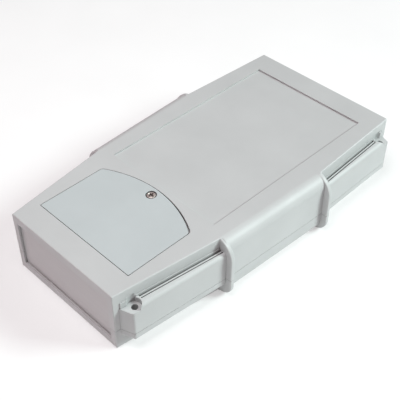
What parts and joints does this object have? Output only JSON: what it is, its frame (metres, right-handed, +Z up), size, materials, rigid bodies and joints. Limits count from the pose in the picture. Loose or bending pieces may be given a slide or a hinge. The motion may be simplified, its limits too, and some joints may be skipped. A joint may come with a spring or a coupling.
{
  "type": "handheld enclosure",
  "caption": "Light grey moulded handheld case with a tapered body, collared grip, side rails, corner screw ledges, label recess and a screwed battery door.",
  "frame": {"origin": "middle of the base, on the surface it stands on", "axes": "+Y along the case from the battery door end to the far end, +X across to the right, +Z up out of the top face"},
  "size_m": [0.143, 0.2396, 0.045],
  "materials": {
    "case_plastic": "fine moulded texture, satin",
    "panel_plastic": "smooth satin sheet",
    "door_plastic": "fine moulded texture, satin",
    "screw_steel": "zinc plated",
    "insert_brass": "turned",
    "contact_steel": "nickel plated"
  },
  "bodies": {
    "case": {"upper_shell": "case_plastic", "lower_shell": "case_plastic", "near_end_panel": "panel_plastic", "far_end_panel": "panel_plastic", "door_insert": "insert_brass", "contact_bridge_left": "contact_steel", "contact_bridge_right": "contact_steel", "contact_bridge_middle": "contact_steel", "contact_positive": "contact_steel", "contact_negative": "contact_steel"},
    "battery_door": {"battery_door": "door_plastic"},
    "door_screw": {"door_screw": "screw_steel"}
  },
  "joints": [
    {"name": "door_hinge", "type": "hinge", "parent": "case", "child": "battery_door", "pos_m": [0, -0.1025, 0.045], "axis": [1, 0, 0], "range_deg": [0, 70]},
    {"name": "door_screw_slide", "type": "slide", "parent": "battery_door", "child": "door_screw", "axis": [0, 0, 1], "range_m": [0, 0.003]}
  ]
}
